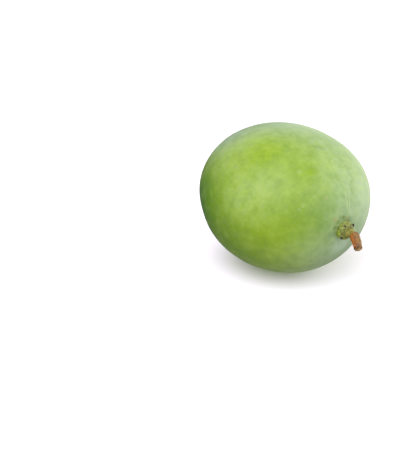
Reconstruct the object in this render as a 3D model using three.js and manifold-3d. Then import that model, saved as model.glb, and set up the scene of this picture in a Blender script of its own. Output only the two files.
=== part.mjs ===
// A whole green mango as picked, with the stub of its stem, lying on its lower cheek.
// Millimetres. +Z is up, +X runs towards the stem end, and the origin is the middle of the
// flat spot that the fruit lies on.
//
// The fruit has axes of its own, which the rest of this file works in: +X out of the stem
// end, +Y out of its back and +Z out of its upper cheek. A mango is longer than wide and
// wider than thick, so its form starts as an ellipsoid with those three diameters.
import * as THREE from "three";
import { mergeVertices } from "three/addons/utils/BufferGeometryUtils.js";
import Module from "manifold-3d";

// ---- The fruit ----
const LENGTH = 113.2; // stem end to apex, before the swellings
const WIDTH = 96.2; // belly to back
const THICKNESS = 84.4; // cheek to cheek
const SKIN_DETAIL = 15; // cuts along each edge of the icosahedron that the skin is made from

// Where the skin stands off the ellipsoid. Each swelling is centred on a bearing [longitude,
// latitude], in degrees from the stem end, fades over its spread, in degrees, and rises by
// millimetres, or sinks where the rise is negative.
const SWELLINGS = [
  { at: [55, 0], spread: 32, rise: 2.4 }, // shoulder of the back
  { at: [-55, 0], spread: 32, rise: 0.4 }, // shoulder of the belly
  { at: [0, 0], spread: 38, rise: 2.7 }, // stem end
  { at: [0, 0], spread: 11, rise: -1.3 }, // hollow round the stem
  { at: [110, 50], spread: 35, rise: -0.7 }, // upper cheek
  { at: [-20, -85], spread: 40, rise: 3.8 }, // lower cheek
  { at: [203, 0], spread: 13, rise: 1.6 }, // beak
  { at: [232, -3], spread: 16, rise: -1.0 }, // sinus, the dip beside the beak
];

// ---- How it lies ----
const ROLL = 20; // degrees about the long axis, back up
const PITCH = 3; // degrees that the stem end dips
// The fruit's middle, seen from the flat spot. Its height leaves the lowest 0.6 mm pressed flat.
const CENTRE = [-2.05, 0, 45.47];

// ---- The stem, whose points are [out of the stem end, to the back, up] ----
const STEM_FOOT = 58.2; // where the stem leaves the skin, from the fruit's middle
const GAP = 0.3; // between the stem and the fruit
const PIT_RADIUS = 3; // the pit in the fruit that the stem's root sits in
const PIT_DEPTH = 3.5;
const ROOT_TOP = 1.5; // how far the root runs up inside the knob
const ROUND_SIDES = 28; // sides of the knob, the root and the pit
// The knob's outline, [radius, height over the stem's foot]
const KNOB = [
  [0, -2],
  [4.4, -2],
  [5.1, -0.2],
  [5.3, 1.2],
  [5.1, 2.5],
  [4.4, 3.6],
  [3.4, 4.3],
  [0, 4.7],
];
const KNOB_LEAN = 7; // degrees that the knob leans to the back
const STALK_RADIUS = 2.6;
const STALK_SIDES = 14;
const STALK_STEPS = 16;
// The middle line of the stalk, from inside the knob to the cut end
const STALK_LINE = [
  [59.5, 0.2, 0.4],
  [63.1, 1.3, 1.5],
  [66.8, 1.1, 1.8],
  [72.2, -1.6, 0.6],
  [77.0, -5.0, -0.5],
];

// ---- Joining and cutting ----
const SAME_POINT = 1e-3; // corners closer than this are one corner
const wasm = await Module();
wasm.setup();

/** A closed geometry as a manifold-3d solid. */
function solidOf(geometry) {
  const bare = geometry.clone();
  bare.deleteAttribute("normal");
  bare.deleteAttribute("uv");
  const merged = mergeVertices(bare, SAME_POINT);
  const mesh = new wasm.Mesh({
    numProp: 3,
    vertProperties: merged.attributes.position.array,
    triVerts: new Uint32Array(merged.index.array),
  });
  return new wasm.Manifold(mesh);
}

/** A manifold-3d solid as a geometry again. */
function geometryOf(solid) {
  const { vertProperties, triVerts } = solid.getMesh();
  const geometry = new THREE.BufferGeometry();
  geometry.setAttribute("position", new THREE.BufferAttribute(vertProperties, 3));
  geometry.setIndex(new THREE.BufferAttribute(triVerts, 1));
  geometry.computeVertexNormals();
  return geometry;
}

/** The unit vector at a bearing: longitude runs from the stem end to the back, latitude up. */
function bearing([longitude, latitude]) {
  const polar = THREE.MathUtils.degToRad(90 - latitude);
  const around = THREE.MathUtils.degToRad(90 + longitude);
  const way = new THREE.Vector3().setFromSphericalCoords(1, polar, around);
  return new THREE.Vector3(way.x, -way.z, way.y);
}

/** The point of the skin that lies that way from the middle, raised by lift. */
function skinPoint(way, lift) {
  const radii = new THREE.Vector3(LENGTH / 2, WIDTH / 2, THICKNESS / 2);
  const outward = way.clone().divide(radii).normalize();
  let rise = lift;
  for (const swelling of SWELLINGS) {
    const away = THREE.MathUtils.radToDeg(way.angleTo(bearing(swelling.at)));
    rise += swelling.rise * Math.exp(-((away / swelling.spread) ** 2));
  }
  return way.clone().multiply(radii).addScaledVector(outward, rise);
}

/** The whole fruit's outside, raised by lift all over. */
function skinSolid(lift) {
  const ball = new THREE.IcosahedronGeometry(1, SKIN_DETAIL);
  const points = ball.attributes.position;
  const way = new THREE.Vector3();
  for (let i = 0; i < points.count; i += 1) {
    way.fromBufferAttribute(points, i).normalize();
    points.setXYZ(i, ...skinPoint(way, lift).toArray());
  }
  return solidOf(ball);
}

/** A round peg along the fruit's long axis, from one height over the stem's foot to another. */
function peg(radius, from, to) {
  const geometry = new THREE.CylinderGeometry(radius, radius, to - from, ROUND_SIDES);
  geometry.rotateZ(-Math.PI / 2);
  geometry.translate(STEM_FOOT + (from + to) / 2, 0, 0);
  return solidOf(geometry);
}

/** The space under the surface that the fruit lies on, in the fruit's own axes. */
function underSurface(resting) {
  const slab = new THREE.BoxGeometry(LENGTH, LENGTH, THICKNESS);
  slab.translate(0, 0, -THICKNESS / 2);
  slab.applyMatrix4(resting.matrix.clone().invert());
  return solidOf(slab);
}

/** The fruit, with the pit for the stem and the flat spot that it lies on. */
function fruitGeometry(resting) {
  const pit = peg(PIT_RADIUS, -PIT_DEPTH, PIT_DEPTH);
  return geometryOf(skinSolid(0).subtract(pit).subtract(underSurface(resting)));
}

/** The swollen knob at the stem's foot, where the flower once sat. */
function knobSolid() {
  const outline = KNOB.map(([radius, height]) => new THREE.Vector2(radius, height));
  const geometry = new THREE.LatheGeometry(outline, ROUND_SIDES);
  geometry.rotateZ(-Math.PI / 2);
  geometry.rotateZ(THREE.MathUtils.degToRad(KNOB_LEAN));
  geometry.translate(STEM_FOOT, 0, 0);
  return solidOf(geometry);
}

/** The woody stalk from the knob to its cut end. */
function stalkSolid() {
  const line = new THREE.CatmullRomCurve3(
    STALK_LINE.map((point) => new THREE.Vector3(...point)),
  );
  const section = new THREE.Shape().absarc(0, 0, STALK_RADIUS, 0, 2 * Math.PI);
  const geometry = new THREE.ExtrudeGeometry(section, {
    curveSegments: STALK_SIDES,
    steps: STALK_STEPS,
    extrudePath: line,
  });
  return solidOf(geometry);
}

/** The stem: knob and stalk, cut clear of the skin, with the root that sits in the pit. */
function stemGeometry() {
  const root = peg(PIT_RADIUS - GAP, GAP - PIT_DEPTH, ROOT_TOP);
  const outside = knobSolid().add(stalkSolid()).subtract(skinSolid(GAP));
  return geometryOf(outside.add(root));
}

/** A named piece of the mango with its finish. */
function piece(name, geometry, finish) {
  const mesh = new THREE.Mesh(geometry, new THREE.MeshStandardMaterial(finish));
  mesh.name = name;
  return mesh;
}

const resting = new THREE.Group();
resting.rotation.set(
  THREE.MathUtils.degToRad(ROLL),
  THREE.MathUtils.degToRad(PITCH),
  0,
  "ZYX",
);
resting.position.set(...CENTRE);
resting.updateMatrix();

resting.add(
  piece("fruit", fruitGeometry(resting), {
    color: 0x9bbd5a,
    roughness: 0.45,
    metalness: 0,
  }),
  piece("stem", stemGeometry(), { color: 0x9a6a3c, roughness: 0.8, metalness: 0 }),
);

const mango = new THREE.Group();
mango.add(resting);

export default mango;
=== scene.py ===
"""A whole green mango with the stub of its stalk, lying on a pale floor.

Metres, in the part's frame: +Z is up, +X runs towards the stem end, and the origin is the middle
of the flat spot that the fruit lies on. The fruit also has axes of its own, as in the part:
+X out of its stem end, +Y out of its back and +Z out of its upper cheek. Its form is given in
those, and then laid down.
"""

import math

import bmesh
import bpy
from mathutils import Euler, Matrix, Vector, noise


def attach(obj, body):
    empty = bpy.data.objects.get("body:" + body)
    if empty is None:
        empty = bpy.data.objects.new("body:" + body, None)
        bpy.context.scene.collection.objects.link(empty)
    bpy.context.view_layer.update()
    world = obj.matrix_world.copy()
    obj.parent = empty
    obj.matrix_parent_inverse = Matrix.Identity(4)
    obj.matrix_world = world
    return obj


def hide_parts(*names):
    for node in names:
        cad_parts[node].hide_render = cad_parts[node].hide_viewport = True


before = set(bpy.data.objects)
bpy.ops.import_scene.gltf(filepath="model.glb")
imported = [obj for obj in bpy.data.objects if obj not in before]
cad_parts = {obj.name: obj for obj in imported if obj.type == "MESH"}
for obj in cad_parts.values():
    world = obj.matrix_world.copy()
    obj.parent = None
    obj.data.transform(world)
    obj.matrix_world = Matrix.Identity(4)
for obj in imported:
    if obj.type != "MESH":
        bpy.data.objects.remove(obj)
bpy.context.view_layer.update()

MM = 0.001

# ---- The fruit, in its own axes ----
RADII = Vector((113.2, 96.2, 84.4)) * MM / 2  # towards the stem end, the back and the cheek
SKIN_CUTS = 7  # times that the ball's faces are split
STEM_END_ANGLE = 24  # degrees round the stem that are split once more

# Where the skin stands off the ellipsoid: the bearing (longitude from the stem end towards the
# back, latitude), how far it spreads in degrees, and how many millimetres it rises
SWELLINGS = [
    ((55, 0), 32, 2.4),  # shoulder of the back
    ((-55, 0), 32, 0.4),  # shoulder of the belly
    ((0, 0), 38, 2.7),  # stem end
    ((0, 0), 11, -1.3),  # hollow round the stem
    ((110, 50), 35, -0.7),  # upper cheek
    ((-20, -85), 40, 3.8),  # lower cheek
    ((203, 0), 13, 1.6),  # beak
    ((232, -3), 16, -1.0),  # sinus, the dip beside the beak
]
LUMP_SIZE = 0.55  # of the skin's slow unevenness, in radii of the fruit
LUMP_HEIGHT = 0.22 * MM
FOLDS = 7  # shallow folds that run out from the stem
FOLD_HEIGHT = 0.22 * MM
FOLD_MIDDLE = 10 * MM  # from the stem's middle
FOLD_SPREAD = 5 * MM
FOLD_WANDER = 3  # how far they wander sideways, in radians of one fold's wave
FOLD_BENDS = 6  # bends to a radius of the fruit
MOAT_DEPTH = 0.4 * MM  # of the groove right round the knob
MOAT_MIDDLE = 6.0 * MM
MOAT_SPREAD = 1.7 * MM

# ---- How it lies ----
ROLL = 20  # degrees about the long axis, back up
PITCH = 3  # degrees that the stem end dips
CENTRE = Vector((-2.05, 0, 45.47)) * MM
TURN = Euler((math.radians(ROLL), math.radians(PITCH), 0))
RESTING = Matrix.Translation(CENTRE) @ TURN.to_matrix().to_4x4()

# ---- The stem's knob, in millimetres from its foot ----
KNOB_PLACE = (58.2, -0.1, 0)  # of its foot, in the fruit's own axes
KNOB_LEAN = 7  # degrees that the knob leans to the back
KNOB_SIDES = 180
KNOB_CUTS = 6  # steps between two points of its outline
# The knob's outline: height over its foot, radius
KNOB_OUTLINE = [
    (-2, 4.3),
    (-0.2, 5.0),
    (1.2, 5.3),
    (2.5, 5.1),
    (3.5, 4.5),
    (3.9, 3.9),
    (4.0, 3.3),
    (4.5, 2.4),
]
# What makes its wall uneven: depths and shares of its radius, and waves to a millimetre
LOBE_DEPTH = 0.03  # of one dip for each sepal
LUMP_DEPTH = 0.1
LUMP_FINENESS = 0.5
CREASE_DEPTH = 0.06
CREASE_FINENESS = 0.55
CREASE_STRETCH = 0.4  # less than 1 draws the creases out along the stem
CREASE_WIDTH = 0.06  # the spread of the noise's values that make a crease
WIDE_SIDE = 10  # degrees round from the back
WIDE_SIDE_SHARE = 0.18  # by which this side stands out
UNDERSIDE_SHARE = 0.1  # by which the underside falls short
WEAR_HEIGHT = 0.6  # how far the rim is worn up and down
WEAR_FINENESS = 0.8
WEAR_MIDDLE = 4
WEAR_SPREAD = 1.6

# ---- The scars that the flower's five sepals left round the knob's rim, in millimetres ----
SCAR_HEIGHT = 2.9
# Degrees round from the back, distance from the stem's middle, and how far the dried tip stands
# out
SCARS = [
    (10, 5.6, 1.0),
    (91, 4.6, 0.3),
    (190, 4.8, 0.3),
    (300, 4.6, 0.2),
    (320, 4.7, 0.4),
]
SCAR_SIZE = Vector((0.65, 0.5, 0.85))  # along the stem, outwards, round the rim
SCAR_CUTS = 4
SCAR_CRUMPLE = 0.5  # share of its size that it is crumpled by
SCAR_FINENESS = 1.3  # crumples to a radius of the scar
TIP_NARROWING = 0.3  # share of its width that the tip loses

# ---- The stalk, in millimetres ----
STALK_SIDES = 120
STALK_CUTS = 12  # steps between two points of its line and of its outline
# The stalk's middle line, in the fruit's own axes
STALK_LINE = [
    Vector((59.7, -0.1, -0.4)),
    Vector((63.5, 0.8, 0.0)),
    Vector((67.2, 0.6, 0.3)),
    Vector((72.2, -1.8, 0.6)),
    Vector((77.2, -5.1, -0.7)),
]
# Its outline: distance along its line, radius
STALK_OUTLINE = [
    (0, 2.9),
    (2.5, 2.8),
    (4.2, 2.65),
    (5.8, 2.5),
    (7.2, 2.6),
    (8.4, 2.85),
    (11, 2.85),
    (14, 2.65),
    (16.5, 2.45),
    (18.5, 2.45),
]
# The cut end, from its rim to the hollow in its pith: distance past the line's end, radius
CUT_END = [
    (-0.4, 2.5),
    (-0.1, 2.3),
    (0, 2.0),
    (-0.2, 1.6),
    (-0.3, 1.0),
    (-0.5, 0.6),
    (-1.1, 0.4),
    (-1.4, 0),
]
BARK_START = 8.2  # along the stalk's line
BARK_LEAD = 0.8  # how far before that its relief begins
BARK_RISE = 1.2  # the length over which the relief grows
SMOOTH_CUT = 2  # the radius inside which the cut end has less of it
FIBRE_DEPTH = 0.1  # share of the radius
FIBRE_FINENESS = 3.2  # round the stalk
FIBRE_STRETCH = 0.16  # and along it, to a millimetre
RING_DEPTH = 0.03  # on neck and bark alike
BARK_RING_DEPTH = 0.04  # that the bark adds
RING_FINENESS = 0.6
RING_STRETCH = 0.9
TEAR_HEIGHT = 0.4  # how far the cut end is torn
TEAR_SPREAD = 0.7
TEAR_FINENESS = 2.2
TEAR_PLACE = 7  # where the tear's noise is read
WHOLE_CUT = 1.5  # the radius inside which the cut end is torn less

SAME_POINT = 1e-4  # millimetres: points of the spun knob and stalk nearer than this are one

# ---- Colours: linear red, green and blue, and 1 for solid ----
# The skin's pigments
GREEN = (0.25, 0.36, 0.0, 1)
PALE_GREEN = (0.38, 0.50, 0.15, 1)
# waxy bloom, which on the upper rims is partly painted sheen
BLOOM = (0.28, 0.37, 0.26, 1)
LIME = (0.20, 0.31, 0.0, 1)
DEEP_GREEN_AND_SHADE = (0.035, 0.13, 0.0, 1)
WAX = (0.40, 0.51, 0.13, 1)
SHADE_GREEN = (0.06, 0.15, 0.0, 1)
HAZE = (0.31, 0.41, 0.26, 1)
RUSSET = (0.30, 0.29, 0.13, 1)
MARK_AND_SHADE_BROWN = (0.13, 0.12, 0.03, 1)
MARK_AND_SHADE_GREEN = (0.10, 0.16, 0.015, 1)
PALE_BLOOM = (0.37, 0.47, 0.33, 1)
PALE_DOT = (0.36, 0.47, 0.17, 1)
# The knob and its scars
OLIVE = (0.10, 0.145, 0.02, 1)
YELLOW_OLIVE = (0.21, 0.28, 0.015, 1)
PALE_OLIVE = (0.27, 0.31, 0.06, 1)
BROWN_OLIVE = (0.14, 0.11, 0.025, 1)
CORK = (0.28, 0.24, 0.09, 1)
DARK_CORK = (0.07, 0.08, 0.015, 1)
SCAR_BLACK = (0.008, 0.010, 0.004, 1)
SCAR_BROWN = (0.05, 0.035, 0.012, 1)
# The stalk
NECK_OLIVE = (0.15, 0.145, 0.025, 1)
NECK_TAN = (0.25, 0.225, 0.045, 1)
BARK_TAN = (0.26, 0.14, 0.035, 1)
BARK_ORANGE = (0.33, 0.105, 0.015, 1)
BARK_BROWN = (0.17, 0.085, 0.03, 1)
BARK_PURPLE = (0.12, 0.06, 0.04, 1)
BARK_DARK = (0.08, 0.035, 0.012, 1)
CUT_WOOD = (0.36, 0.23, 0.13, 1)
PITH = (0.02, 0.012, 0.008, 1)
# The studio
FLOOR_PALE = (0.93, 0.88, 0.97, 1)
WHITE = (1, 1, 1, 1)

# ---- Where the skin's pigments lie ----
WANDER = (6 * MM, 6 * MM, 6 * MM)  # how far the coloured parts' edges wander
WANDER_SIZE = 9 * MM
# Each pigment on the plain green, some deep green parts being painted shade: bearing, spread in
# degrees, share
PALE_PARTS = [
    ((-70, 35), 35, 1.0),  # the broad pale field on the belly side of the upper cheek
    ((15, 25), 25, 1.0),  # over the stem
    ((150, -20), 60, 0.5),  # the back, low down
]
# Bloom; over the apex and on the back's shoulder it is partly painted sheen of the pale surroundings
BLOOM_AND_SHEEN_PARTS = [
    ((0, -10), 40, 0.9),  # the stem end, under the stalk
    ((-25, 55), 20, 0.5),  # the shoulder of the back, partly painted sheen on the upper rim
    ((120, 60), 40, 0.8),  # the shoulder of the back
    ((-170, 40), 20, 0.8),  # over the apex, partly painted sheen on the rim
    ((-60, -60), 40, 0.4),  # the lower cheek
    ((150, -10), 50, 0.5),  # the back
]
LIME_PARTS = [
    ((-40, 75), 30, 0.9),  # the crown of the upper cheek
    ((0, 45), 15, 0.4),  # from the crown to the stem
    ((-20, 25), 20, 0.6),  # between the pale field and the stem
    ((-50, 0), 30, 0.8),  # the belly
    ((-110, 20), 35, 0.7),  # the belly near the apex
    ((120, -20), 50, 0.5),  # the back
]
DEEP_AND_SHADED_PARTS = [
    ((-120, 10), 30, 0.9),  # painted shade down the flank near the apex
    ((-75, -10), 25, 0.4),  # painted shade under the belly
    ((-15, 20), 20, 0.3),  # beside the stem
    ((60, 20), 40, 0.5),  # the back near the stem
    ((-170, -20), 50, 0.4),  # the apex, which spreads the flank's painted shade out round it
]
# Pale streaks that run out from the stem, given the same way
STREAKED_PART = ((8, 10), 12, 0.4)
STREAK_WIDTH = 0.1  # radians round the stem
# Marks on the skin round the stem, and painted shade in the hollow round the knob: middle in the
# fruit's own axes and radius, in millimetres, share, pigment
STEM_MARKS_AND_SHADE = [
    ((57.4, -2.0, 10.2), 2.6, 0.6, RUSSET),
    ((57.3, 1.5, 9.0), 2.4, 0.5, MARK_AND_SHADE_GREEN),
    ((57.4, 3.9, 8.0), 1.8, 0.7, MARK_AND_SHADE_GREEN),
    ((57.4, 3.2, 5.6), 2.2, 0.25, MARK_AND_SHADE_GREEN),
    ((57.4, -0.8, 7.2), 2.4, 0.5, MARK_AND_SHADE_GREEN),
    # painted shade in the hollow round the knob's belly side: this spot and the next
    ((57.4, -3.8, 4.4), 2.4, 0.5, MARK_AND_SHADE_GREEN),
    ((57.4, -5.0, 1.0), 2.2, 0.45, MARK_AND_SHADE_GREEN),
    ((56.6, 1.8, -11.0), 2.6, 0.5, RUSSET),
    ((50.5, -1.4, 21.7), 2.2, 0.35, RUSSET),
    # partly a dark mark, partly painted shade in the gap between the knob and the skin
    ((57.4, 5.0, 3.4), 2.4, 0.8, MARK_AND_SHADE_BROWN),
    ((57.6, 5.2, 5.6), 1.8, 0.4, RUSSET),
    ((56.8, -3.0, -9.0), 9.0, 0.75, PALE_BLOOM),
    # painted shade in the hollow under the knob's belly side
    ((57.4, -4.8, -6.6), 2.4, 0.4, MARK_AND_SHADE_GREEN),
]
# Faint scuffs and specks over the rest of the skin, given the same way
SCUFFS = [
    ((46.1, -14.6, 22.5), 1.7, 0.14, PALE_BLOOM),
    ((45.4, -17.3, 21.8), 1.5, 0.14, PALE_BLOOM),
    ((46.3, -6.2, 25.2), 1.3, 0.25, PALE_BLOOM),
    ((32.7, -3.0, 34.8), 2.6, 0.15, PALE_BLOOM),
    ((36.6, 1.7, 32.8), 3.6, 0.5, LIME),
    ((6.6, -17.8, 39.0), 2.2, 0.4, LIME),
    ((-14.2, -28.6, 32.2), 2.6, 0.2, RUSSET),
]
# How strongly the mottling shows: share for each unit that the noise is off its middle
HAZE_SHARE = 2.6
LIME_SHARE = 3.0
WAX_SHARE = 1.2
SHADE_SHARE = 1.7
# Pale dots all over
DOT_SPACING = 2.1 * MM
DOT_RADIUS = 0.42 * MM
DOT_SHARE = 0.22

# ---- Where the stem's colours lie, in the straight stem's own millimetres ----
PALE_SPOT = (3.6, 4.6, -0.6)  # on the knob
PALE_SPOT_RADIUS = 2.4
KNOB_UNDER = (0, -0.015, -0.03)  # the knob is yellower and less pale to its belly side and down: partly its own colour, partly painted light that lifts its underside
YELLOW_UNDER = 1.6  # times that for the yellow
YELLOW_WALL = 0.16  # by which the knob's wall is yellower than its top
BROWN_WALL = 0.1  # by which it is less brown
BARK_BELLY = (0, -0.09, 0)  # the bark has more orange to its belly side
BARK_EDGE_SLANT = 3  # times that: it starts later there
RIM_SLANT = 5  # times that: the dark rim is wider there
BARK_EDGE_WANDER = 1.5  # how far the bark's start and the dark rim follow the fibres
BARK_GRAIN = (0.16, 1, 1)  # draws the bark's fibres out along the stalk
# Dark marks on the bark: middle, radius
BARK_MARKS = [((13.2, -0.2, 2.7), 1.7), ((18.6, 0.4, 2.4), 2.0)]
PITH_MIDDLE = (0, -0.6, 0.2)  # on the cut end
# How strongly each colour shows where it lies
PALE_OLIVE_SHARE = 0.7
BROWN_OLIVE_SHARE = 0.8
CORK_SHARE = 0.5
PALE_SPOT_SHARE = 0.8
DARK_CORK_SHARE = 0.6
BARK_BROWN_SHARE = 0.5
BARK_DARK_SHARE = 0.8
BARK_MARK_SHARE = 0.7
RIM_SHARE = 0.85

# ---- Patterns ----
EVEN = 0.5  # the middle of a noise's values
ACROSS = (0, 1, 1)  # leaves only what is square to the long axis
FAR_OFF = (7.3, 1.9, 4.1)  # to where a noise has other values
SPOT_CORE = 0.3  # the share of a spot's radius that is all spot
MIX_FACTOR = 0  # the places of a Mix node's sockets when it mixes colours
MIX_FIRST = 6
MIX_SECOND = 7
MIX_RESULT = 2

# ---- The view ----
VIEW_SIZE = (400, 457)  # pixels
PIXEL = 0.6158 * MM  # a pixel's size at the fruit's middle
FRUIT_IN_VIEW = (281.5, 194.75)  # where the fruit's middle is, in pixels from the top left
VIEW_TURN = 54.455  # degrees from looking along +Y
VIEW_RISE = 24  # degrees over the floor
VIEW_DISTANCE = 0.9  # metres from the fruit's middle
SENSOR = 36  # millimetres, the view's height

# ---- The studio ----
AMBIENT = 0.25  # brightness away from the soft boxes
SOFT_BOX_SPREAD = 50  # degrees from a soft box's middle to its edge
# Soft boxes: degrees to the right of the camera, degrees up, brightness
SOFT_BOXES = [
    (0, 45, 2.5),  # the main one, over the camera
    (-45, 45, 1.5),  # beside it on the left
    (-135, 45, 1.0),  # behind on the left
    (90, 10, 1.5),  # low on the right
    (135, 10, 2.5),  # low behind on the right
    (0, -60, 1.2),  # what the pale ground throws back up
]
FLOOR_RADIUS = 4  # metres
FLOOR_SIDES = 64


# ---- Making the meshes ----


def bearing(longitude, latitude):
    """The unit vector at a bearing, in degrees, in the fruit's own axes."""
    around = math.radians(longitude)
    up = math.radians(latitude)
    return Vector((math.cos(up) * math.cos(around), math.cos(up) * math.sin(around), math.sin(up)))


def bell(value, middle, spread):
    """A bump of height 1 about the middle."""
    return math.exp(-(((value - middle) / spread) ** 2))


def layered(point, fade, finer, layers):
    """Noise about 0 in layers, each that many times finer than the last and fainter by the fade."""
    return noise.fractal(point, fade, finer, layers)


def finished(name, mesh, finish, node):
    """Makes a bmesh a smooth piece of the mango that rides with it and stands for a CAD node."""
    bmesh.ops.recalc_face_normals(mesh, faces=mesh.faces)
    for face in mesh.faces:
        face.smooth = True
    data = bpy.data.meshes.new(name)
    mesh.to_mesh(data)
    mesh.free()
    data.materials.append(finish)
    piece = bpy.data.objects.new(name, data)
    bpy.context.scene.collection.objects.link(piece)
    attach(piece, "root")
    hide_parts(node)
    return piece


def smooth_line(points, steps):
    """The smooth line through some points, with that many steps in each gap."""
    first = 2 * points[0] - points[1]
    last = 2 * points[-1] - points[-2]
    line = []
    for before, start, end, after in zip([first, *points], points, points[1:], [*points[2:], last]):
        for step in range(steps):
            t = step / steps
            slope = (end - before) * t
            bend = (2 * before - 5 * start + 4 * end - after) * t**2
            twist = (3 * start - before - 3 * end + after) * t**3
            line.append((2 * start + slope + bend + twist) / 2)
    return [*line, points[-1]]


def turned(outline, steps):
    """A closed shape spun about the X axis from an outline of (along, radius) points."""
    mesh = bmesh.new()
    verts = [mesh.verts.new((along, radius, 0)) for along, radius in outline]
    edges = [mesh.edges.new(pair) for pair in zip(verts, verts[1:])]
    bmesh.ops.spin(
        mesh,
        geom=verts + edges,
        cent=(0, 0, 0),
        axis=(1, 0, 0),
        angle=2 * math.pi,
        steps=steps,
        use_merge=True,
    )
    bmesh.ops.remove_doubles(mesh, verts=mesh.verts, dist=SAME_POINT)
    return mesh


def skin_point(way):
    """The point of the skin that lies that way from the fruit's middle, in its own axes."""
    outward = Vector(way[i] / RADII[i] for i in range(3)).normalized()
    point = Vector(way[i] * RADII[i] for i in range(3))
    rise = LUMP_HEIGHT * layered(way / LUMP_SIZE, fade=1, finer=2, layers=2)
    for toward, spread, height in SWELLINGS:
        away = math.degrees(way.angle(bearing(*toward)))
        rise += height * MM * bell(away, 0, spread)
    if way.x > 0:
        off_axis = math.hypot(point.y, point.z)
        turn = math.atan2(point.z, point.y)
        wander = noise.noise(way * FOLD_BENDS)
        fold = math.cos(FOLDS * turn + FOLD_WANDER * wander)
        rise += FOLD_HEIGHT * fold * bell(off_axis, FOLD_MIDDLE, FOLD_SPREAD)
        rise -= MOAT_DEPTH * bell(off_axis, MOAT_MIDDLE, MOAT_SPREAD)
    return point + outward * rise


def mango_fruit(finish):
    """The fruit, pressed flat where it touches the floor."""
    mesh = bmesh.new()
    bmesh.ops.create_icosphere(mesh, subdivisions=SKIN_CUTS, radius=1)
    near = math.cos(math.radians(STEM_END_ANGLE))
    stem_end = [edge for edge in mesh.edges if all(vert.co.x > near for vert in edge.verts)]
    bmesh.ops.subdivide_edges(mesh, edges=stem_end, cuts=1, use_grid_fill=True)
    bmesh.ops.triangulate(mesh, faces=mesh.faces)
    for vert in mesh.verts:
        vert.co = RESTING @ skin_point(vert.co.normalized())
        vert.co.z = max(vert.co.z, 0)
    return finished("mango_fruit", mesh, finish, "fruit")


def keep_grain(mesh):
    """Stores each point's place before bending, in millimetres, for the finishes to follow."""
    grain = mesh.verts.layers.float_vector.new("grain")
    for vert in mesh.verts:
        vert[grain] = vert.co


def stem_place():
    """What carries the knob's own millimetres (over its foot, to the back, up) into place."""
    lean = Matrix.Rotation(math.radians(KNOB_LEAN), 4, "Z")
    return RESTING @ Matrix.Scale(MM, 4) @ Matrix.Translation(KNOB_PLACE) @ lean


def knob_swell(height, back, up):
    """How far a point of the knob's wall moves out, as a share of its radius."""
    turn = math.atan2(up, back)
    lobes = -LOBE_DEPTH * math.cos(len(SCARS) * turn)
    lump_place = Vector((height, back, up)) * LUMP_FINENESS
    lumps = LUMP_DEPTH * layered(lump_place, fade=0.7, finer=2, layers=4)
    crease_place = Vector((back, up, height * CREASE_STRETCH)) * CREASE_FINENESS
    creases = -CREASE_DEPTH * bell(noise.noise(crease_place), 0, CREASE_WIDTH)
    wide = WIDE_SIDE_SHARE * max(math.cos(turn - math.radians(WIDE_SIDE)), 0)
    under = UNDERSIDE_SHARE * max(-math.sin(turn), 0)
    return 1 + lobes + lumps + creases + (wide - under)


def stem_knob(finish):
    """The swollen knob that the stalk grows out of, lumpy and creased, with a worn rim."""
    outline = smooth_line([Vector(point) for point in KNOB_OUTLINE], KNOB_CUTS)
    outline = [Vector((outline[0].x, 0)), *outline, Vector((outline[-1].x, 0))]
    mesh = turned(outline, KNOB_SIDES)
    keep_grain(mesh)
    place = stem_place()
    for vert in mesh.verts:
        height, back, up = vert.co
        swell = knob_swell(height, back, up)
        vert.co.y *= swell
        vert.co.z *= swell
        worn = layered(Vector((back, up, 0)) * WEAR_FINENESS, fade=0.7, finer=2, layers=3)
        vert.co.x += WEAR_HEIGHT * worn * bell(height, WEAR_MIDDLE, WEAR_SPREAD)
        vert.co = place @ vert.co
    return finished("stem_knob", mesh, finish, "stem")


def sepal_scars(finish):
    """The dark scars round the knob's rim, with what is left of the dried sepals."""
    mesh = bmesh.new()
    place = stem_place()
    for turn, off_axis, tip in SCARS:
        scar = bmesh.ops.create_icosphere(mesh, subdivisions=SCAR_CUTS, radius=1)["verts"]
        round_rim = place @ Matrix.Rotation(math.radians(turn), 4, "X")
        for vert in scar:
            crumple_place = vert.co * SCAR_FINENESS + Vector((turn, 0, 0))
            crumple = 1 + SCAR_CRUMPLE * layered(crumple_place, fade=0.7, finer=2, layers=3)
            out = max(vert.co.y, 0)
            pad = vert.co * SCAR_SIZE * crumple
            pad.y += tip * out
            pad.z *= 1 - TIP_NARROWING * out
            vert.co = round_rim @ (pad + Vector((SCAR_HEIGHT, off_axis, 0)))
    return finished("sepal_scars", mesh, finish, "stem")


def bent(line):
    """A function that carries a point of the straight stalk onto its line, and the line's length."""
    ends = list(zip(line, line[1:]))
    starts = [0]
    for start, end in ends:
        starts.append(starts[-1] + (end - start).length)

    def carried(point):
        at = max(index for index, along in enumerate(starts[:-1]) if along <= max(point.x, 0))
        start, end = ends[at]
        way = (end - start).normalized()
        across = Vector((0, point.y, point.z))
        across.rotate(Vector((1, 0, 0)).rotation_difference(way))
        return start + way * (point.x - starts[at]) + across

    return carried, starts[-1]


def stalk_swell(along, turn, out):
    """How far a point of the stalk moves out, as a share of its radius."""
    reached = min(max((along - BARK_START + BARK_LEAD) / BARK_RISE, 0), 1)
    bark = reached * min(out / SMOOTH_CUT, 1)
    fibre_place = Vector((turn.x * FIBRE_FINENESS, turn.y * FIBRE_FINENESS, along * FIBRE_STRETCH))
    fibres = layered(fibre_place, fade=0.7, finer=2.2, layers=4)
    rings = noise.noise(
        Vector((turn.x * RING_FINENESS, turn.y * RING_FINENESS, along * RING_STRETCH))
    )
    return 1 + bark * (FIBRE_DEPTH * fibres + BARK_RING_DEPTH * rings) + RING_DEPTH * rings


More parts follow.
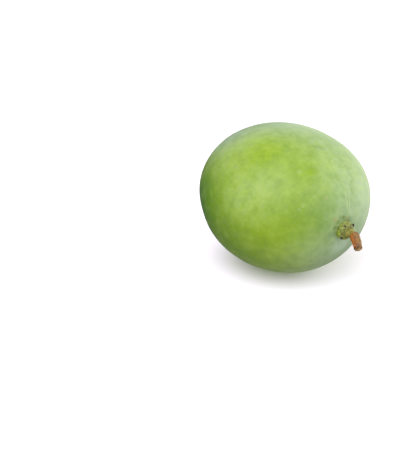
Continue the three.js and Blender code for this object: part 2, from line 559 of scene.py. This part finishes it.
def stalk(finish):
    """The woody stalk: a smooth neck, then fibrous bark up to a torn end with its pith."""
    carried, length = bent(smooth_line(STALK_LINE, STALK_CUTS))
    sides = smooth_line([Vector(point) for point in STALK_OUTLINE], STALK_CUTS)
    cut_end = [(length + past, radius) for past, radius in CUT_END]
    mesh = turned([(0, 0), *(tuple(point) for point in sides), *cut_end], STALK_SIDES)
    keep_grain(mesh)
    place = RESTING @ Matrix.Scale(MM, 4)
    for vert in mesh.verts:
        along, back, up = vert.co
        out = math.hypot(back, up)
        turn = Vector((back, up)).normalized() if out else Vector((0, 0))
        swell = stalk_swell(along, turn, out)
        vert.co.y *= swell
        vert.co.z *= swell
        tear_place = Vector((turn.x * TEAR_FINENESS, turn.y * TEAR_FINENESS, TEAR_PLACE))
        tear = TEAR_HEIGHT * layered(tear_place, fade=0.8, finer=2, layers=3)
        vert.co.x += tear * bell(along, length, TEAR_SPREAD) * min(out / WHOLE_CUT, 1)
        vert.co = place @ carried(vert.co)
    return finished("stalk", mesh, finish, "stem")


# ---- Writing the finishes ----


class Shade:
    """A shader value that can be added, subtracted and multiplied."""

    def __init__(self, nodes, socket):
        self.nodes = nodes
        self.socket = socket

    def __add__(self, other):
        return self.nodes.maths("ADD", self, other)

    def __radd__(self, other):
        return self.nodes.maths("ADD", other, self)

    def __sub__(self, other):
        return self.nodes.maths("SUBTRACT", self, other)

    def __rsub__(self, other):
        return self.nodes.maths("SUBTRACT", other, self)

    def __mul__(self, other):
        return self.nodes.maths("MULTIPLY", self, other)

    def __rmul__(self, other):
        return self.nodes.maths("MULTIPLY", other, self)


class Nodes:
    """A shader's nodes, added one by one."""

    def __init__(self, tree):
        self.tree = tree

    def node(self, kind, settings=None, inputs=None, output=0):
        """Adds a node with its settings and the values or links of its sockets: one output."""
        node = self.tree.nodes.new("ShaderNode" + kind)
        for name, value in (settings or {}).items():
            setattr(node, name, value)
        for name, value in (inputs or {}).items():
            self.feed(node.inputs[name], value)
        return Shade(self, node.outputs[output])

    def feed(self, socket, value):
        """Links a socket to a shade, or sets its value."""
        if isinstance(value, Shade):
            self.tree.links.new(value.socket, socket)
        else:
            socket.default_value = value

    def maths(self, operation, *values):
        """Maths on numbers."""
        return self.node("Math", {"operation": operation}, dict(enumerate(values)))

    def vector(self, operation, *values, output=0):
        """Vector maths, whose answer is a vector, or a number where the output is "Value"."""
        inputs = dict(enumerate(values))
        return self.node("VectorMath", {"operation": operation}, inputs, output)

    def step(self, value, low, high):
        """0 at low, 1 at high and a smooth rise between."""
        ends = {"Value": value, "From Min": low, "From Max": high}
        return self.node("MapRange", {"interpolation_type": "SMOOTHSTEP"}, ends)

    def grain(self, place, size, detail=2, roughness=0.5):
        """Noise from 0 to 1 whose lumps are about that big."""
        inputs = {"Vector": place, "Scale": 1 / size, "Detail": detail, "Roughness": roughness}
        return self.node("TexNoise", None, inputs)

    def dots(self, place, spacing, radius):
        """1 in the middle of scattered dots, falling to 0 at their radius."""
        far = self.node("TexVoronoi", None, {"Vector": place, "Scale": 1 / spacing}, "Distance")
        return 1 - self.step(far, radius / spacing / 2, radius / spacing)

    def shifted(self, place):
        """The same place moved far off, where a noise has other values."""
        return self.vector("ADD", place, FAR_OFF)

    def spot(self, place, middle, radius):
        """1 in the middle of a round spot, falling to 0 at its radius."""
        far = self.vector("DISTANCE", place, middle, output="Value")
        return 1 - self.step(far, radius * SPOT_CORE, radius)

    def patches(self, way, parts):
        """The sum of soft patches, each a bearing, a spread in degrees and a share."""
        total = 0
        for toward, spread, share in parts:
            sharpness = 2 / math.radians(spread) ** 2
            facing = self.vector("DOT_PRODUCT", way, bearing(*toward), output="Value")
            total = total + share * self.maths("EXPONENT", sharpness * (facing - 1))
        return total

    def mixed(self, share, colour, other):
        """A colour, or the other where the share is 1."""
        inputs = {MIX_FACTOR: share, MIX_FIRST: colour, MIX_SECOND: other}
        return self.node("Mix", {"data_type": "RGBA"}, inputs, MIX_RESULT)


class Finish(Nodes):
    """A material under way."""

    def __init__(self, name):
        self.material = bpy.data.materials.new(name)
        self.material.use_nodes = True
        super().__init__(self.material.node_tree)
        self.surface = self.tree.nodes["Principled BSDF"]

    def set(self, **inputs):
        """Feeds the surface's sockets; an underscore stands for a space in their names."""
        for name, value in inputs.items():
            self.feed(self.surface.inputs[name.replace("_", " ")], value)

    def bump(self, height, depth):
        """Small relief, from a height of 0 to 1 that stands for a depth."""
        inputs = {"Height": height, "Strength": 1, "Distance": depth}
        self.set(Normal=self.node("Bump", None, inputs))


def skin_finish():
    """Waxy green skin: pale, lime and deep green parts, bloom, part of it painted sheen on the rims,
    streaks from the stem, dots, and painted shade on the apex's flank, under the belly and round the
    knob.
    """
    skin = Finish("mango_skin")
    place = skin.node("TexCoord", None, None, "Object")
    turn = {"Vector": place, "Location": CENTRE, "Rotation": TURN}
    own = skin.node("Mapping", {"vector_type": "TEXTURE"}, turn)

    clouds = skin.grain(own, size=24 * MM, detail=3, roughness=0.6)
    mottle = skin.grain(own, size=7 * MM, detail=4, roughness=0.65)
    haze = skin.grain(skin.shifted(own), size=5 * MM, detail=4, roughness=0.6)
    fine = skin.grain(own, size=1.3 * MM, detail=3, roughness=0.6)

    wander = {"Vector": own, "Scale": 1 / WANDER_SIZE, "Detail": 3}
    drift = skin.node("TexNoise", None, wander, "Color")
    drift = skin.vector("SUBTRACT", drift, (EVEN, EVEN, EVEN))
    astray = skin.vector("MULTIPLY_ADD", drift, WANDER, own)
    way = skin.vector("NORMALIZE", astray)

    uneven = 0.5 + 0.4 * clouds + 0.6 * mottle  # about 1, and it keeps the patches from being smooth
    tone = skin.mixed(skin.patches(way, PALE_PARTS) * uneven, GREEN, PALE_GREEN)
    tone = skin.mixed(HAZE_SHARE * (haze - EVEN), tone, HAZE)
    tone = skin.mixed(LIME_SHARE * (EVEN - haze), tone, LIME)
    # bloom, partly painted sheen on the upper rims
    tone = skin.mixed(skin.patches(way, BLOOM_AND_SHEEN_PARTS) * uneven, tone, BLOOM)
    tone = skin.mixed(skin.patches(way, LIME_PARTS) * uneven, tone, LIME)
    # deep green, and painted shade on the apex's flank and under the belly
    tone = skin.mixed(skin.patches(way, DEEP_AND_SHADED_PARTS) * uneven, tone, DEEP_GREEN_AND_SHADE)
    tone = skin.mixed(WAX_SHARE * (mottle - EVEN), tone, WAX)
    tone = skin.mixed(SHADE_SHARE * (EVEN - mottle), tone, SHADE_GREEN)

    ray = skin.vector("NORMALIZE", skin.vector("MULTIPLY", own, ACROSS))
    streaks = skin.step(skin.grain(ray, size=STREAK_WIDTH), low=0.52, high=0.7)
    tone = skin.mixed(streaks * skin.patches(way, [STREAKED_PART]), tone, PALE_GREEN)

    # marks and scuffs, and painted shade round the knob
    for middle, radius, share, pigment in STEM_MARKS_AND_SHADE + SCUFFS:
        mark = skin.spot(astray, Vector(middle) * MM, radius * MM)
        tone = skin.mixed(mark * share, tone, pigment)
    dots = skin.dots(own, DOT_SPACING, DOT_RADIUS)
    tone = skin.mixed(dots * DOT_SHARE, tone, PALE_DOT)
    skin.set(Base_Color=tone, Roughness=0.38 + 0.14 * mottle)
    skin.set(Specular_IOR_Level=0.22, Coat_Weight=0.14, Coat_Roughness=0.3)
    skin.bump(0.7 * fine + 0.3 * mottle, depth=0.08 * MM)
    return skin.material


def knob_finish():
    """Olive with yellow-green, pale and brown blotches, and a corky rim."""
    knob = Finish("stem_knob")
    grain = knob.node("Attribute", {"attribute_name": "grain"}, None, "Vector")
    height = knob.node("SeparateXYZ", None, {"Vector": grain}, "X")
    blotches = knob.grain(grain, size=2.4, detail=3, roughness=0.65)
    other = knob.grain(knob.shifted(grain), size=1.8, detail=3, roughness=0.65)
    fine = knob.grain(grain, size=0.5)
    under = knob.vector("DOT_PRODUCT", grain, KNOB_UNDER, output="Value")
    wall = 1 - knob.step(height, low=2.0, high=3.2)

    # yellower underneath: partly its own colour, partly painted light that lifts the underside
    yellowness = blotches + YELLOW_UNDER * under + YELLOW_WALL * wall
    yellow = knob.step(yellowness, low=0.5, high=0.68)
    tone = knob.mixed(yellow, OLIVE, YELLOW_OLIVE)
    pale = knob.step(other - under, low=0.54, high=0.68)
    tone = knob.mixed(pale * PALE_OLIVE_SHARE, tone, PALE_OLIVE)
    brown = 1 - knob.step(other + BROWN_WALL * wall, low=0.45, high=0.58)
    tone = knob.mixed(brown * BROWN_OLIVE_SHARE, tone, BROWN_OLIVE)
    ring = knob.step(height, low=2.4, high=2.9) * (1 - knob.step(height, low=3.1, high=3.6))
    corky = ring * knob.step(blotches, low=0.45, high=0.55)
    tone = knob.mixed(corky * CORK_SHARE, tone, CORK)
    spot = knob.spot(grain, PALE_SPOT, PALE_SPOT_RADIUS)
    tone = knob.mixed(spot * PALE_SPOT_SHARE, tone, PALE_OLIVE)
    specks = knob.step(fine, low=0.54, high=0.68)
    tone = knob.mixed(specks * DARK_CORK_SHARE, tone, DARK_CORK)
    knob.set(Base_Color=tone, Roughness=0.5 + 0.2 * fine)
    knob.bump(fine, depth=0.1 * MM)
    return knob.material


def scar_finish():
    """Dried, nearly black."""
    scar = Finish("sepal_scar")
    place = scar.node("TexCoord", None, None, "Object")
    fine = scar.grain(place, size=0.5 * MM)
    scar.set(Base_Color=scar.mixed(fine, SCAR_BLACK, SCAR_BROWN), Roughness=0.8)
    scar.bump(fine, depth=0.1 * MM)
    return scar.material


def bark_finish():
    """A smooth olive neck, tan bark with orange strips, and a cut end with a dark rim and pith."""
    bark = Finish("stalk_bark")
    grain = bark.node("Attribute", {"attribute_name": "grain"}, None, "Vector")
    along = bark.node("SeparateXYZ", None, {"Vector": grain}, "X")
    across = bark.vector("MULTIPLY", grain, ACROSS)
    out = bark.vector("LENGTH", across, output="Value")
    stretch = bark.vector("MULTIPLY", grain, BARK_GRAIN)
    fibres = bark.grain(stretch, size=1.1, detail=4, roughness=0.7)
    strips = bark.grain(bark.shifted(stretch), size=1.6, detail=3)
    blotches = bark.grain(grain, size=2.5, detail=3)
    belly_side = bark.vector("DOT_PRODUCT", grain, BARK_BELLY, output="Value")

    neck = bark.mixed(bark.step(blotches, low=0.42, high=0.62), NECK_OLIVE, NECK_TAN)
    orange = bark.step(strips + belly_side, low=0.48, high=0.62)
    wood = bark.mixed(orange, BARK_TAN, BARK_ORANGE)
    brown = bark.step(blotches, low=0.5, high=0.62)
    wood = bark.mixed(brown * BARK_BROWN_SHARE, wood, BARK_BROWN)
    cracks = 1 - bark.step(fibres, low=0.36, high=0.5)
    wood = bark.mixed(cracks * BARK_DARK_SHARE, wood, BARK_DARK)
    for middle, radius in BARK_MARKS:
        mark = bark.spot(grain, middle, radius)
        wood = bark.mixed(mark * BARK_MARK_SHARE, wood, BARK_PURPLE)
    start = BARK_START + BARK_EDGE_WANDER * (EVEN - fibres) + BARK_EDGE_SLANT * belly_side
    tone = bark.mixed(bark.step(along - start, low=-0.4, high=0.5), neck, wood)

    face = bark.mixed(bark.step(blotches, low=0.4, high=0.6), BARK_TAN, CUT_WOOD)
    off_pith = bark.vector("DISTANCE", across, PITH_MIDDLE, output="Value")
    face = bark.mixed(1 - bark.step(off_pith, low=0.4, high=0.9), face, PITH)
    inside = bark.step(along, low=18.4, high=19.0) * (1 - bark.step(out, low=1.8, high=2.2))
    tone = bark.mixed(inside, tone, face)
    reach = along + BARK_EDGE_WANDER * (fibres - EVEN) + RIM_SLANT * belly_side
    rim = bark.step(reach, low=19.2, high=20.0) * bark.step(out, low=1.7, high=2.1)
    tone = bark.mixed(rim * RIM_SHARE, tone, PITH)
    bark.set(Base_Color=tone, Roughness=0.65, Specular_IOR_Level=0.3)
    bark.bump(fibres, depth=0.25 * MM)
    return bark.material


def floor_finish():
    """Plain and pale, matt."""
    floor = Finish("white_floor")
    floor.set(Base_Color=FLOOR_PALE, Roughness=0.9, Specular_IOR_Level=0.0)
    return floor.material


# ---- Setting up the studio ----


def view_axes(turn, rise):
    """Right, up and back for someone looking at the fruit from that side."""
    around = Matrix.Rotation(math.radians(turn), 3, "Z")
    tilt = Matrix.Rotation(math.radians(90 - rise), 3, "X")
    return tuple(around @ tilt @ Vector(axis) for axis in ((1, 0, 0), (0, 1, 0), (0, 0, 1)))


def place_camera():
    """The camera, which looks down at the stem end, with the fruit right of the view's middle."""
    right, up, back = view_axes(VIEW_TURN, VIEW_RISE)
    width, height = VIEW_SIZE
    across = (FRUIT_IN_VIEW[0] - width / 2) * PIXEL
    over = (height / 2 - FRUIT_IN_VIEW[1]) * PIXEL
    data = bpy.data.cameras.new("camera")
    data.sensor_fit = "VERTICAL"
    data.sensor_height = SENSOR
    data.lens = SENSOR * VIEW_DISTANCE / (height * PIXEL)
    camera = bpy.data.objects.new("camera", data)
    camera.location = CENTRE - right * across - up * over + back * VIEW_DISTANCE
    camera.rotation_euler = Matrix((right, up, back)).transposed().to_euler()
    bpy.context.scene.collection.objects.link(camera)
    bpy.context.scene.camera = camera


def lay_floor():
    """A wide pale disc under the fruit, which neither lights it nor shows in its gloss."""
    mesh = bmesh.new()
    bmesh.ops.create_circle(mesh, cap_ends=True, segments=FLOOR_SIDES, radius=FLOOR_RADIUS)
    data = bpy.data.meshes.new("floor")
    mesh.to_mesh(data)
    mesh.free()
    data.materials.append(floor_finish())
    floor = bpy.data.objects.new("floor", data)
    bpy.context.scene.collection.objects.link(floor)
    floor.visible_diffuse = False
    floor.visible_glossy = False
    floor.visible_shadow = False


def light_surroundings():
    """Plain white surroundings, brightest where the soft boxes stand."""
    world = bpy.data.worlds.new("studio")
    bpy.context.scene.world = world
    world.use_nodes = True
    studio = Nodes(world.node_tree)
    way = studio.node("TexCoord", None, None, "Generated")
    edge = math.cos(math.radians(SOFT_BOX_SPREAD))
    light = AMBIENT
    for turn, rise, brightness in SOFT_BOXES:
        toward = view_axes(VIEW_TURN + turn, rise)[2]
        facing = studio.vector("DOT_PRODUCT", way, toward, output="Value")
        light = light + brightness * studio.step(facing, low=edge, high=1.0)
    background = world.node_tree.nodes["Background"]
    studio.feed(background.inputs["Color"], WHITE)
    studio.feed(background.inputs["Strength"], light)


place_camera()
mango_fruit(skin_finish())
stem_knob(knob_finish())
sepal_scars(scar_finish())
stalk(bark_finish())
lay_floor()
light_surroundings()

bpy.context.scene.view_settings.view_transform = "Standard"
